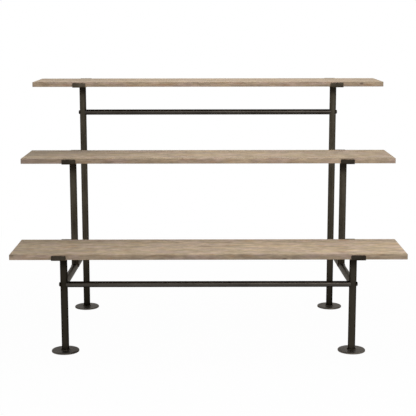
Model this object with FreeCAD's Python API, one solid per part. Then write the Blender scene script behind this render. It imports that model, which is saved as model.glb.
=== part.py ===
import FreeCAD, Part

import math
import os

# A three-step pipe shelving unit. Three equal boards stand in steps, the front
# one lowest and the rear one highest. Each board lies in two bent steel saddles.
# The front and rear saddles stand on legs with round feet, and the middle ones on
# posts that straddle a low side rail. Two cross rails are bolted between the legs.
#
# Millimetres. +Z is up, the front is towards -Y, and left is towards -X. The
# origin is on the floor, under the centre of the unit.

Vector = FreeCAD.Vector

# ---------------------------------------------------------------- driving sizes

# Boards.
shelf_length = 1829.0
shelf_depth = 356.0
shelf_thickness = 25.0
shelf_edge_bevel = 2.0
front_shelf_top = 512.0
middle_shelf_top = 906.0
top_shelf_top = 1253.0
middle_setback = 391.0  # front edge of the front board to that of the middle one
top_setback = 434.0  # front edge of the middle board to that of the top one

# Pipes. Legs, posts and side rails are cut from one size, and the cross rails from a thinner
# one. The frame is a little narrower at the back.
leg_diameter = 35.0
leg_wall = 2.5
cross_rail_diameter = 28.5
cross_rail_wall = 2.5
front_leg_spacing = 1377.0
rear_leg_spacing = 1345.0
low_rail_height = 330.0
high_rail_height = 1082.0

# Feet.
foot_diameter = 132.0
foot_thickness = 8.0
foot_top_chamfer = 2.0

# Saddles, bent from flat bar with both ends turned up against the board's edges.
saddle_width = 68.0
saddle_thickness = 4.0
saddle_front_lip = 20.5
saddle_rear_lip = 26.0
saddle_corner_round = 6.0

# Bolts that hold the cross rails, their saddle washers and the plugs they screw into.
bolt_diameter = 12.0
bolt_reach_in_plug = 24.0
bolt_head_diameter = 20.5
bolt_head_height = 4.5
bolt_head_rim = 1.5
bolt_crown_diameter = 14.0
bolt_socket_flats = 7.0
bolt_socket_depth = 2.8
washer_thickness = 1.5
plug_length = 32.0

# Hexagon-head wood screws that come up through the saddles into the boards.
screw_diameter = 6.0
screw_head_flats = 10.0
screw_head_height = 4.0
board_above_pilot = 7.0  # what a pilot hole leaves of the board's thickness
screw_offset = 110.0  # from the post's axis, to the front and to the back

# Clearances.
board_clearance = 0.3  # board edge to saddle lip
cope_clearance = 0.2  # a coped end to the tube that it fits
bolt_clearance = 0.25  # bolt to the holes in the leg
thread_clearance = 0.1  # bolt to plug, screw to its pilot hole
plug_clearance = 0.1  # plug to the bore of the rail
plug_setback = 1.0  # plug face to the leg
pilot_extra_depth = 1.0

# ---------------------------------------------------------------- worked-out places

leg_radius = leg_diameter / 2
cross_rail_radius = cross_rail_diameter / 2
cross_rail_bore_radius = cross_rail_radius - cross_rail_wall
bolt_radius = bolt_diameter / 2
bolt_seat = leg_radius + washer_thickness  # under the head, measured from the leg's axis
bolt_crown = bolt_seat + bolt_head_height
screw_radius = screw_diameter / 2
pilot_depth = shelf_thickness - board_above_pilot
screw_bite = pilot_depth - pilot_extra_depth
saddle_bend_radius = shelf_edge_bevel  # inside the bend, so that the board's eased edge clears it

total_depth = middle_setback + top_setback + shelf_depth
front_row_y = -total_depth / 2 + shelf_depth / 2
middle_row_y = front_row_y + middle_setback
rear_row_y = middle_row_y + top_setback

side_sign = {"left": -1, "right": 1}
row_y = {"front": front_row_y, "middle": middle_row_y, "rear": rear_row_y}
row_shelf = {"front": "front_shelf", "middle": "middle_shelf", "rear": "top_shelf"}
row_shelf_top = {"front": front_shelf_top, "middle": middle_shelf_top, "rear": top_shelf_top}
cross_rail_height = {"front": low_rail_height, "rear": high_rail_height}


def half_spacing(row):
    """Half the distance between the left and right uprights of one row."""
    run_back = (row_y[row] - front_row_y) / (rear_row_y - front_row_y)
    return (front_leg_spacing + (rear_leg_spacing - front_leg_spacing) * run_back) / 2


def upright_axis(side, row, height):
    """A point on the axis of the leg or post of one side and row."""
    return Vector(side_sign[side] * half_spacing(row), row_y[row], height)


def fixing_frame(side, row):
    """A rail bolt's axis: the leg's centre, and the way from there to the outside."""
    return upright_axis(side, row, cross_rail_height[row]), Vector(side_sign[side], 0, 0)


def shelf_underside(row):
    return row_shelf_top[row] - shelf_thickness


def saddle_underside(row):
    return shelf_underside(row) - saddle_thickness


# ---------------------------------------------------------------- shared shapes


def rod(start, end, radius):
    """A solid cylinder from one point to another."""
    run = end - start
    return Part.makeCylinder(radius, run.Length, start, run)


def tube(start, end, outer_radius, wall):
    """A pipe from one point to another, open at both ends."""
    return rod(start, end, outer_radius).cut(rod(start, end, outer_radius - wall))


def turned(outline, axis_point, axis_direction):
    """A solid turned about an axis from a closed outline of edges."""
    face = Part.Face(Part.Wire(outline))
    return face.revolve(axis_point, axis_direction, 360)


def line(start, end):
    return Part.LineSegment(start, end).toShape()


def arc(centre, radius, start_degrees, end_degrees, across, up):
    """An arc in the plane of two unit vectors, its angles measured from across to up."""
    points = []
    for degrees in (start_degrees, (start_degrees + end_degrees) / 2, end_degrees):
        turn = math.radians(degrees)
        points.append(centre + across * (radius * math.cos(turn)) + up * (radius * math.sin(turn)))
    return Part.Arc(*points).toShape()


def is_along(edge, direction):
    """Whether a straight edge runs along a unit vector."""
    run = edge.Vertexes[-1].Point - edge.Vertexes[0].Point
    return abs(abs(run.dot(direction)) - run.Length) < 1e-6


def hexagon(centre, flats, direction, height):
    """A six-sided prism of a given size across its flats, standing on its centre."""
    across, up = Vector(1, 0, 0), Vector(0, 0, 1)
    sideways = across if abs(direction.dot(up)) > 0.5 else up
    other = direction.cross(sideways)
    corners = []
    for corner in range(7):
        turn = math.radians(60 * corner)
        reach = sideways * math.cos(turn) + other * math.sin(turn)
        corners.append(centre + reach * (flats / math.sqrt(3)))
    return Part.Face(Part.makePolygon(corners)).extrude(direction * height)


def upright_blank(side, row, radius):
    """A solid rod along a whole upright, to cope other tubes against."""
    below = upright_axis(side, row, -leg_diameter)
    above = upright_axis(side, row, row_shelf_top[row] + leg_diameter)
    return rod(below, above, radius)


def save(name, shape):
    if not shape.isValid():
        raise ValueError(name + " is not a valid shape")
    shape.exportStep("parts/" + name + ".step")


# ---------------------------------------------------------------- boards


def screw_points(row):
    """Where the screws of one board pass its underside."""
    points = []
    for side in side_sign:
        for step in (-screw_offset, screw_offset):
            points.append(upright_axis(side, row, shelf_underside(row)) + Vector(0, step, 0))
    return points


def shelf(row):
    """A flat board with every edge eased and blind pilot holes for its screws."""
    corner = Vector(-shelf_length / 2, row_y[row] - shelf_depth / 2, shelf_underside(row))
    board = Part.makeBox(shelf_length, shelf_depth, shelf_thickness, corner)
    board = board.makeChamfer(shelf_edge_bevel, board.Edges)
    for point in screw_points(row):
        top = point + Vector(0, 0, pilot_depth)
        board = board.cut(rod(point, top, screw_radius + thread_clearance))
    return board


# ---------------------------------------------------------------- saddles


def saddle_profile(row):
    """The bent bar seen from its side: a base, two bends and two upright lips."""
    inner = shelf_depth / 2 + board_clearance
    outer = inner + saddle_thickness
    inner_radius = saddle_bend_radius
    outer_radius = inner_radius + saddle_thickness
    back = Vector(0, 1, 0)
    up = Vector(0, 0, 1)
    base = Vector(0, row_y[row], saddle_underside(row))

    def at(y, z):
        return base + back * y + up * z

    def bend(y, z, radius, start_degrees, end_degrees):
        return arc(at(y, z), radius, start_degrees, end_degrees, back, up)

    floor = saddle_thickness
    centre = inner - inner_radius
    centre_z = floor + inner_radius
    front_tip = floor + saddle_front_lip
    rear_tip = floor + saddle_rear_lip
    return [
        line(at(-outer, front_tip), at(-outer, centre_z)),
        bend(-centre, centre_z, outer_radius, 180, 270),
        line(at(-centre, 0), at(centre, 0)),
        bend(centre, centre_z, outer_radius, 270, 360),
        line(at(outer, centre_z), at(outer, rear_tip)),
        line(at(outer, rear_tip), at(inner, rear_tip)),
        line(at(inner, rear_tip), at(inner, centre_z)),
        bend(centre, centre_z, inner_radius, 360, 270),
        line(at(centre, floor), at(-centre, floor)),
        bend(-centre, centre_z, inner_radius, 270, 180),
        line(at(-inner, centre_z), at(-inner, front_tip)),
        line(at(-inner, front_tip), at(-outer, front_tip)),
    ]


def lip_corner_edges(strap, row):
    """The four short edges across the bar's thickness at the lips' top corners."""
    tips = (
        shelf_underside(row) + saddle_front_lip,
        shelf_underside(row) + saddle_rear_lip,
    )
    found = []
    for edge in strap.Edges:
        at_tip = any(abs(edge.Vertexes[0].Z - tip) < 1e-6 for tip in tips)
        if at_tip and is_along(edge, Vector(0, 1, 0)):
            found.append(edge)
    return found


def saddle(side, row):
    """A U-shaped strap under the board, with rounded lips and two screw holes."""
    face = Part.Face(Part.Wire(saddle_profile(row)))
    middle = upright_axis(side, row, 0).x
    face.translate(Vector(middle - saddle_width / 2, 0, 0))
    strap = face.extrude(Vector(saddle_width, 0, 0))
    strap = strap.makeFillet(saddle_corner_round, lip_corner_edges(strap, row))
    for point in screw_points(row):
        if abs(point.x - middle) < saddle_width / 2:
            below = point - Vector(0, 0, 2 * saddle_thickness)
            strap = strap.cut(rod(below, point, screw_radius + bolt_clearance))
    return strap


# ---------------------------------------------------------------- feet, legs and posts


def foot(side, row):
    """A flat round plate, bevelled round its top edge, that the leg is welded to."""
    radius = foot_diameter / 2
    centre = upright_axis(side, row, 0)
    across = Vector(1, 0, 0)
    up = Vector(0, 0, 1)

    def at(r, z):
        return centre + across * r + up * z

    bevel_start = foot_thickness - foot_top_chamfer
    outline = [
        line(at(0, 0), at(radius, 0)),
        line(at(radius, 0), at(radius, bevel_start)),
        line(at(radius, bevel_start), at(radius - foot_top_chamfer, foot_thickness)),
        line(at(radius - foot_top_chamfer, foot_thickness), at(0, foot_thickness)),
        line(at(0, foot_thickness), at(0, 0)),
    ]
    return turned(outline, centre, up)


def bolt_hole(side, row):
    """The hole for a cross rail's bolt, from one side of the leg to the other."""
    centre, outward = fixing_frame(side, row)
    reach = outward * leg_diameter
    return rod(centre - reach, centre + reach, bolt_radius + bolt_clearance)


def leg(side, row):
    """A pipe from foot to saddle, drilled right through for the cross rail's bolt."""
    bottom = upright_axis(side, row, foot_thickness)
    top = upright_axis(side, row, saddle_underside(row))
    return tube(bottom, top, leg_radius, leg_wall).cut(bolt_hole(side, row))


def side_rail_rod(side, radius):
    """A solid rod on a side rail's axis, from the front leg's axis to the rear leg's."""
    front_end = upright_axis(side, "front", low_rail_height)
    rear_end = upright_axis(side, "rear", low_rail_height)
    return rod(front_end, rear_end, radius)


def middle_post(side):
    """A pipe whose lower end is notched to straddle the side rail."""
    bottom = upright_axis(side, "middle", low_rail_height)
    top = upright_axis(side, "middle", saddle_underside("middle"))
    notch = side_rail_rod(side, leg_radius + cope_clearance)
    return tube(bottom, top, leg_radius, leg_wall).cut(notch)


# ---------------------------------------------------------------- rails


def coped(rail, uprights):
    """A rail that ends on uprights' axes, hollowed to fit round those uprights."""
    for side, row in uprights:
        rail = rail.cut(upright_blank(side, row, leg_radius + cope_clearance))
    return rail


def side_rail(side):
    """The low rail of one side, relieved wherever a cross rail's bolt would foul it."""
    front_end = upright_axis(side, "front", low_rail_height)
    rear_end = upright_axis(side, "rear", low_rail_height)
    rail = tube(front_end, rear_end, leg_radius, leg_wall)
    rail = coped(rail, ((side, "front"), (side, "rear")))
    head_room = bolt_head_diameter / 2 + cope_clearance
    for row in cross_rail_height:
        centre, outward = fixing_frame(side, row)
        rail = rail.cut(rod(centre, centre + outward * bolt_crown, head_room))
        rail = rail.cut(bolt_hole(side, row))
    return rail


def cross_rail(row):
    """A rail from left leg to right leg, notched where a side rail meets the same leg."""
    left_end = upright_axis("left", row, cross_rail_height[row])
    right_end = upright_axis("right", row, cross_rail_height[row])
    rail = tube(left_end, right_end, cross_rail_radius, cross_rail_wall)
    rail = coped(rail, (("left", row), ("right", row)))
    for side in side_sign:
        rail = rail.cut(side_rail_rod(side, leg_radius + cope_clearance))
    return rail


# ---------------------------------------------------------------- cross rail fixings


def rail_plug(side, row):
    """A tapped plug, set in the rail's end, that the bolt screws into."""
    centre, outward = fixing_frame(side, row)
    mouth = centre - outward * (leg_radius + plug_setback)
    inner_end = mouth - outward * plug_length
    blank = rod(mouth, inner_end, cross_rail_bore_radius - plug_clearance)
    return blank.cut(rod(mouth, inner_end, bolt_radius + thread_clearance))


def rail_washer(side, row):
    """A round washer whose inner face is hollowed to sit on the leg."""
    centre, outward = fixing_frame(side, row)
    outer_face = centre + outward * bolt_seat
    washer = rod(centre, outer_face, bolt_head_diameter / 2)
    washer = washer.cut(upright_blank(side, row, leg_radius + cope_clearance))
    return washer.cut(rod(centre, outer_face, bolt_radius + bolt_clearance))


def rail_bolt(side, row):
    """A bolt with a low bevelled head and a hexagon socket, from outside the leg into the plug."""
    centre, outward = fixing_frame(side, row)
    up = Vector(0, 0, 1)
    tip = -(leg_radius + plug_setback + bolt_reach_in_plug)
    head_radius = bolt_head_diameter / 2
    crown_radius = bolt_crown_diameter / 2
    rim = bolt_seat + bolt_head_rim

    def at(along, radius):
        return centre + outward * along + up * radius

    outline = [
        line(at(tip, 0), at(tip, bolt_radius)),
        line(at(tip, bolt_radius), at(bolt_seat, bolt_radius)),
        line(at(bolt_seat, bolt_radius), at(bolt_seat, head_radius)),
        line(at(bolt_seat, head_radius), at(rim, head_radius)),
        line(at(rim, head_radius), at(bolt_crown, crown_radius)),
        line(at(bolt_crown, crown_radius), at(bolt_crown, 0)),
        line(at(bolt_crown, 0), at(tip, 0)),
    ]
    bolt = turned(outline, centre, outward)
    socket_floor = centre + outward * (bolt_crown - bolt_socket_depth)
    return bolt.cut(hexagon(socket_floor, bolt_socket_flats, outward, bolt_head_height))


# ---------------------------------------------------------------- board screws


def shelf_screw(point):
    """A hexagon-head wood screw, its head under the saddle and its shank in the board."""
    up = Vector(0, 0, 1)
    seat = point - up * saddle_thickness
    head = hexagon(seat, screw_head_flats, -up, screw_head_height)
    shank = rod(seat, point + up * screw_bite, screw_radius)
    return head.fuse(shank)


# ---------------------------------------------------------------- assembly

os.makedirs("parts", exist_ok=True)

for row, shelf_name in row_shelf.items():
    save(shelf_name, shelf(row))
    save(shelf_name + "_screws", Part.makeCompound([shelf_screw(p) for p in screw_points(row)]))

for side in side_sign:
    for row in row_y:
        save(side + "_" + row + "_saddle", saddle(side, row))
    for row in cross_rail_height:
        save(side + "_" + row + "_foot", foot(side, row))
        save(side + "_" + row + "_leg", leg(side, row))
    save(side + "_middle_post", middle_post(side))
    save(side + "_side_rail", side_rail(side))

for row in cross_rail_height:
    save(row + "_cross_rail", cross_rail(row))
    save(row + "_rail_plugs", Part.makeCompound([rail_plug(side, row) for side in side_sign]))
    save(row + "_rail_washers", Part.makeCompound([rail_washer(side, row) for side in side_sign]))
    save(row + "_rail_bolts", Part.makeCompound([rail_bolt(side, row) for side in side_sign]))
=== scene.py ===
import math

import bmesh
import bpy
from mathutils import Matrix, Vector, noise


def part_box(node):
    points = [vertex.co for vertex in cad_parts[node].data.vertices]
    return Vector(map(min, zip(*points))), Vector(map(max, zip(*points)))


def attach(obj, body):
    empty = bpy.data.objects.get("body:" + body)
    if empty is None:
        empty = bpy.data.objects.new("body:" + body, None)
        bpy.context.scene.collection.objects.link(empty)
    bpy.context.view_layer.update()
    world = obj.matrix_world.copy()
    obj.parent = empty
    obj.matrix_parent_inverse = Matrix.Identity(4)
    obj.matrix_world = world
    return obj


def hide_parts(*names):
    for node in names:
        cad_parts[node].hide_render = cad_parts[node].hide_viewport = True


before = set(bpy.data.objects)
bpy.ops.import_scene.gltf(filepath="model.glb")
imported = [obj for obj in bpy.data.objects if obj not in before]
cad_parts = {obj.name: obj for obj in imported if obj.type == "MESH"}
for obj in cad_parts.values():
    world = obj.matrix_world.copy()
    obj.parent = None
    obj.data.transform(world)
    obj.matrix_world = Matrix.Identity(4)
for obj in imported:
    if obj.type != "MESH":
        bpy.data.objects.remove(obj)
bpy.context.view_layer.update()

# ---------------------------------------------------------------- legs, posts and rails
# Drawn steel pipe, 35 mm across for the legs, posts and side rails and 28.5 mm for the cross rails,
# sawn to length. A rail's ends are notched to fit round the legs, and the foot of each middle post
# is notched to straddle its side rail. All but the cross rails are welded.


def linear(code):
    """An sRGB hex colour as a linear RGBA value."""
    parts = [int(code[i:i + 2], 16) / 255 for i in (1, 3, 5)]
    return [c / 12.92 if c <= 0.04045 else ((c + 0.055) / 1.055) ** 2.4 for c in parts] + [1.0]


def add(tree, kind, inputs=None, **settings):
    """A node with its settings. An input is a value, a socket, or a node whose first output is meant."""
    node = tree.nodes.new(kind)
    for name, value in settings.items():
        setattr(node, name, value)
    for key, value in (inputs or {}).items():
        if isinstance(value, bpy.types.Node):
            value = next(output for output in value.outputs if output.enabled)
        if isinstance(value, bpy.types.NodeSocket):
            tree.links.new(value, node.inputs[key])
        else:
            node.inputs[key].default_value = value
    return node


def bare_material(name):
    """A material with no nodes in it yet, and its node tree."""
    material = bpy.data.materials.new(name)
    material.use_nodes = True
    material.node_tree.nodes.clear()
    return material, material.node_tree


# Mild steel, blackened in a chemical bath and sealed with a dull bronze-tinted lacquer. The bath
# takes unevenly, so the brown-black clouds from olive to umber, and pipe still shows faint lines
# along its length from drawing.
def blackened_steel(name, cloud_codes, roughness, edge_tint, drawn_lines):
    material, tree = bare_material(name)
    place = add(tree, "ShaderNodeTexCoord").outputs["Object"]
    if drawn_lines:
        own = add(tree, "ShaderNodeAttribute", attribute_name="lengthwise").outputs["Vector"]
        place = add(tree, "ShaderNodeMapping", {"Vector": own, "Scale": (0.3, 1.0, 1.0)})
    # clouds of the bath, 45 mm across, with 9 mm mottling in them, drawn out along a pipe
    clouds = add(tree, "ShaderNodeTexNoise",
                 {"Vector": place, "Scale": 1 / 0.045, "Detail": 3.0, "Roughness": 0.6})
    mottle = add(tree, "ShaderNodeTexNoise",
                 {"Vector": place, "Scale": 1 / 0.009, "Detail": 2.0, "Roughness": 0.55})
    mixed = add(tree, "ShaderNodeMath", {0: mottle, 1: 0.45, 2: clouds}, operation="MULTIPLY_ADD")
    tint = add(tree, "ShaderNodeValToRGB", {"Fac": mixed})
    stops = tint.color_ramp.elements
    stops[0].position = 0.5
    stops[0].color = linear(cloud_codes[0])
    stops[1].position = 0.95
    stops[1].color = linear(cloud_codes[2])
    stops.new(0.72).color = linear(cloud_codes[1])
    # arrises and weld ripples are rubbed through to a warmer brown, and the black gathers where
    # welding heated the steel; the same near-black is painted shade under each board and on the cross
    # rails' undersides
    worn, weld_heat_and_painted_shade, bath_tone_and_painted_light = [add(tree, "ShaderNodeAttribute", attribute_name=what).outputs["Fac"]
                          for what in ("worn", "weld_heat_and_painted_shade", "bath_tone_and_painted_light")]
    patchy = add(tree, "ShaderNodeMapRange", {"Value": mottle, "From Min": 0.42, "From Max": 0.66},
                 interpolation_type="SMOOTHSTEP")
    rub = add(tree, "ShaderNodeMath", {0: worn, 1: patchy}, operation="MULTIPLY")
    colour = tint
    # the near-black is weld heat, and painted shade under the boards and under the cross rails
    for share, code in ((rub, "#5d5044"), (weld_heat_and_painted_shade, "#15110d")):
        colour = add(tree, "ShaderNodeMix", {0: share, 6: colour, 7: linear(code)}, data_type="RGBA")
    # pieces came out lighter or darker all over, some along their length: partly the bath, partly painted
    # light and shade
    strength = add(tree, "ShaderNodeMath", {0: bath_tone_and_painted_light, 1: 1.0}, operation="ADD")
    colour = add(tree, "ShaderNodeVectorMath", {0: colour, "Scale": strength}, operation="SCALE")
    # grain of the lacquer, 0.9 mm, and the lines along a drawn pipe, 70 mm by 1.2 mm
    relief = add(tree, "ShaderNodeTexNoise", {"Vector": place, "Scale": 1 / 0.0009, "Detail": 2.0})
    if drawn_lines:
        stretched = add(tree, "ShaderNodeMapping",
                        {"Vector": own, "Scale": (1 / 0.07, 1 / 0.0012, 1 / 0.0012)})
        lines = add(tree, "ShaderNodeTexNoise", {"Vector": stretched, "Scale": 1.0, "Detail": 2.0})
        relief = add(tree, "ShaderNodeMath", {0: lines, 1: 0.8, 2: relief}, operation="MULTIPLY_ADD")
    dull = add(tree, "ShaderNodeMapRange", {"Value": mottle, "From Min": 0.3, "From Max": 0.7,
                                            "To Min": roughness - 0.07, "To Max": roughness + 0.08})
    bump = add(tree, "ShaderNodeBump", {"Strength": 0.35, "Distance": 0.0002, "Height": relief})
    shader = add(tree, "ShaderNodeBsdfPrincipled", {
        "Base Color": colour, "Roughness": dull, "Normal": bump, "Metallic": 1.0,
        "Specular Tint": linear(edge_tint)})
    add(tree, "ShaderNodeOutputMaterial", {"Surface": shader})
    return material


leg_finish = blackened_steel(
    "blackened_and_lacquered_steel_leg", ("#3a352d", "#413c33", "#4a443a"), 0.40, "#827e79", True)
rail_finish = blackened_steel(
    "blackened_and_lacquered_steel_rail", ("#3a3632", "#423e39", "#4a4641"), 0.35, "#5c5a57", True)
side_rail_finish = blackened_steel(
    "blackened_and_wiped_steel_rail", ("#393632", "#413e39", "#494640"), 0.38, "#c6c3bf", True)


def shape_tree(name, **sizes):
    """A geometry tree with named inputs of each kind, and those inputs' sockets by their names."""
    tree = bpy.data.node_groups.new(name, "GeometryNodeTree")
    tree.interface.new_socket("Geometry", in_out="OUTPUT", socket_type="NodeSocketGeometry")
    for kind, size_names in sizes.items():
        for size_name in size_names:
            tree.interface.new_socket(size_name, in_out="INPUT", socket_type="NodeSocket" + kind)
    return tree, dict(add(tree, "NodeGroupInput").outputs.items())


def end_tree(tree, geometry, finish):
    """Ends a geometry tree in real geometry with its finish on."""
    real = add(tree, "GeometryNodeRealizeInstances", {"Geometry": geometry})
    finished = add(tree, "GeometryNodeSetMaterial", {"Geometry": real, "Material": finish})
    add(tree, "NodeGroupOutput", {0: finished})


# A pipe is a grid bent round. Its rings of points run out along the outer wall and back along the bore.
pipe_tree, known = shape_tree(
    "notched_pipe", Float=("Length", "Radius", "Wall", "Start Notch Radius", "End Notch Radius",
                           "Start Relief Radius", "End Relief Radius", "Stock Place"),
    Int=("Rings", "Sides"), Material=("Finish",))
place = add(pipe_tree, "GeometryNodeInputPosition")
grid_place = add(pipe_tree, "ShaderNodeSeparateXYZ", {0: place}).outputs
known["grid x"] = grid_place["X"]
known["grid y"] = grid_place["Y"]
# each sum has a name, an operation, and terms that are numbers or the names of what is known
sums = [
    ("last ring", "MULTIPLY", "Rings", 2.0),
    ("ring count", "ADD", "last ring", 1.0),
    ("side count", "ADD", "Sides", 1.0),
    ("ring", "ADD", "grid x", "Rings"),
    ("ring", "ROUND", "ring"),
    ("turn", "ADD", "grid y", math.pi),
    ("rings left", "SUBTRACT", "last ring", "ring"),
    ("going out", "GREATER_THAN", "rings left", "Rings"),
    ("closing", "LESS_THAN", "rings left", 0.5),
    ("outer", "MAXIMUM", "going out", "closing"),
    ("rings back", "SUBTRACT", "rings left", 1.0),
    ("rings back", "MAXIMUM", "rings back", 0.0),
    ("rings along", "MINIMUM", "ring", "rings back"),
    ("steps", "SUBTRACT", "Rings", 1.0),
    ("share", "DIVIDE", "rings along", "steps"),
    ("bore radius", "SUBTRACT", "Radius", "Wall"),
    ("wall radius", "MULTIPLY_ADD", "outer", "Wall", "bore radius"),
    ("cosine", "COSINE", "turn"),
    ("sine", "SINE", "turn"),
    ("across", "MULTIPLY", "wall radius", "cosine"),
    ("up", "MULTIPLY", "wall radius", "sine"),
    ("across squared", "MULTIPLY", "across", "across"),
    ("up squared", "MULTIPLY", "up", "up"),
    ("on flank", "GREATER_THAN", "across", 0.0)]
# an end is notched round the upright that it meets, and relieved on one flank round what else is there
for end in ("Start", "End"):
    for cut, offset_squared in (("Notch", "across squared"), ("Relief", "up squared")):
        reach = end + " " + cut + " Radius"
        sums += [("reach squared", "MULTIPLY", reach, reach),
                 ("left", "SUBTRACT", "reach squared", offset_squared),
                 ("left", "MAXIMUM", "left", 0.0),
                 (cut, "SQRT", "left")]
    sums += [("Relief", "MULTIPLY", "Relief", "on flank"),
             (end, "MAXIMUM", "Notch", "Relief")]
sums += [("far end", "SUBTRACT", "Length", "End"),
         ("run", "SUBTRACT", "far end", "Start"),
         ("along", "MULTIPLY_ADD", "share", "run", "Start")]
for name, operation, *terms in sums:
    values = {i: known.get(term, term) for i, term in enumerate(terms)}
    known[name] = add(pipe_tree, "ShaderNodeMath", values, operation=operation)
sheet = add(pipe_tree, "GeometryNodeMeshGrid", {
    "Size X": known["last ring"], "Size Y": math.tau, "Vertices X": known["ring count"],
    "Vertices Y": known["side count"]})
point = add(pipe_tree, "ShaderNodeCombineXYZ", {0: known["along"], 1: known["across"], 2: known["up"]})
bent = add(pipe_tree, "GeometryNodeSetPosition", {"Geometry": sheet, "Position": point})
sewn = add(pipe_tree, "GeometryNodeMergeByDistance", {"Geometry": bent, "Distance": 0.00002})
# each pipe's surface is read from its own place along the stock that it was cut from
stock_place = add(pipe_tree, "ShaderNodeCombineXYZ", {0: known["Stock Place"]})
own_place = add(pipe_tree, "ShaderNodeVectorMath", {0: place, 1: stock_place}, operation="ADD")
marked = add(pipe_tree, "GeometryNodeStoreNamedAttribute",
             {"Geometry": sewn, "Name": "lengthwise", "Value": own_place}, data_type="FLOAT_VECTOR")
angle = add(pipe_tree, "GeometryNodeInputMeshEdgeAngle")
sharp = add(pipe_tree, "ShaderNodeMath", {0: angle, 1: 0.6}, operation="GREATER_THAN")
soft = add(pipe_tree, "GeometryNodeSetShadeSmooth", {"Geometry": marked, "Shade Smooth": True})
soft = add(pipe_tree, "GeometryNodeSetShadeSmooth",
           {"Geometry": soft, "Selection": sharp, "Shade Smooth": False}, domain="EDGE")
end_tree(pipe_tree, soft, known["Finish"])


def grown(name, tree, values, geometry=None):
    """The plain mesh that a geometry tree makes from its named inputs, as an object at the origin."""
    seed = bpy.data.objects.new(name + "_seed", geometry or bpy.data.meshes.new(name + "_seed"))
    bpy.context.scene.collection.objects.link(seed)
    modifier = seed.modifiers.new("shape", "NODES")
    modifier.node_group = tree
    for item in tree.interface.items_tree:
        if item.in_out == "INPUT" and item.name in values:
            modifier[item.identifier] = values[item.name]
    bpy.context.view_layer.update()
    evaluated = seed.evaluated_get(bpy.context.evaluated_depsgraph_get())
    mesh = bpy.data.meshes.new_from_object(evaluated)
    mesh.name = name
    bpy.data.objects.remove(seed)
    return standing(name, mesh)


def standing(name, data):
    """An object at the origin, made of a mesh, a lamp or a lens."""
    piece = bpy.data.objects.new(name, data)
    bpy.context.scene.collection.objects.link(piece)
    return piece


def laid(mesh, place, way, across_way):
    """Moves a mesh drawn along the X axis to lie along the way from the place."""
    axes = Matrix((way, across_way, way.cross(across_way))).transposed().to_4x4()
    mesh.transform(Matrix.Translation(place) @ axes)


def fixed_to_frame(piece, slot_name, *nodes):
    """The piece belongs to the one rigid body and stands for its CAD nodes."""
    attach(piece, "root")
    if nodes:
        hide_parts(*nodes)


def centre_of(node):
    low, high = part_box(node)
    return (low + high) / 2


def half_size(node):
    low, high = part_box(node)
    return (high - low) / 2


def eased(share):
    """A share kept from 0 to 1 and eased at both ends."""
    share = min(max(share, 0.0), 1.0)
    return share * share * (3 - 2 * share)


def between(three_values, share):
    """The value at a share of the way along a piece, from those at its start, middle and end."""
    halves = min(max(share, 0.0), 1.0) * 2
    near, far = three_values[:2] if halves < 1 else three_values[1:]
    return near + (far - near) * (halves - (halves >= 1))


def mark(mesh, name, values, domain="POINT", kind="FLOAT"):
    """Stores one value for all, or a list of them, on a mesh's points or faces for its material."""
    entries = mesh.attributes.new(name, kind, domain).data
    values = values if isinstance(values, list) else [values] * len(entries)
    entries.foreach_set("vector" if kind == "FLOAT_VECTOR" else "value", values)


def darkened_by_heat_and_shade(mesh, darkening_spots):
    """Marks how dark each point is by how near it is to each spot, from each spot's place, strength and
    reach: weld heat, and painted shade under a board.
    """
    values = []
    for vertex in mesh.vertices:
        shares = [strength * eased((reach - (vertex.co - spot_place).length) / (0.6 * reach))
                  for spot_place, strength, reach in darkening_spots]
        values.append(max(shares, default=0.0))
    mark(mesh, "weld_heat_and_painted_shade", values)


pipe_wall = 0.0025
notch_clearance = 0.0002
ring_pitch = 0.008
lengths_cut = []


def pipe(node, start, end, across_way, radius, notches, reliefs, darkening_spots, bath_tone_and_painted_light, finish):
    """One pipe from its axis's start to its end, for the CAD node of the same name. Its ends are
    notched, and relieved on the flank towards across_way, by cylinders of the given radii.
    bath_tone_and_painted_light is how much lighter than the rest of the frame it is at its start, middle
    and end, partly from the bath and partly painted light and shade."""
    run = end - start
    way = run.normalized()
    piece = grown("pipe_" + node, pipe_tree, {
        "Length": run.length, "Radius": radius, "Wall": pipe_wall, "Start Notch Radius": notches[0],
        "End Notch Radius": notches[1], "Start Relief Radius": reliefs[0], "End Relief Radius": reliefs[1],
        "Stock Place": sum(lengths_cut, 0.0), "Rings": max(4, round(run.length / ring_pitch)),
        "Sides": 48, "Finish": finish})
    lengths_cut.append(run.length)
    laid(piece.data, start, way, across_way)
    work = bmesh.new()
    work.from_mesh(piece.data)
    bmesh.ops.recalc_face_normals(work, faces=work.faces)
    work.to_mesh(piece.data)
    work.free()
    darkened_by_heat_and_shade(piece.data, darkening_spots)
    mark(piece.data, "bath_tone_and_painted_light",
         [between(bath_tone_and_painted_light, (vertex.co - start).dot(way) / run.length) for vertex in piece.data.vertices])
    fixed_to_frame(piece, "blackened_steel", node)
    return piece


sides = {"left": -1, "right": 1}
leg_radius = half_size("left_front_leg").x
cross_rail_radius = half_size("front_cross_rail").z
washer_radius = half_size("front_rail_washers").z
round_leg = leg_radius + notch_clearance
round_washer = washer_radius + notch_clearance
up_way = Vector((0, 0, 1))
right_way = Vector((1, 0, 0))
back_way = Vector((0, 1, 0))
rail_height = {"front": centre_of("front_cross_rail").z, "rear": centre_of("rear_cross_rail").z}
upright_axis = {}
for side in sides:
    for row, node in (("front", "front_leg"), ("middle", "middle_post"), ("rear", "rear_leg")):
        upright_axis[side, row] = centre_of(side + "_" + node)

# painted shade in the legs' tones: front legs darker where the front board shades them, rear legs darker
# towards the floor; the posts are painted lighter
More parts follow.
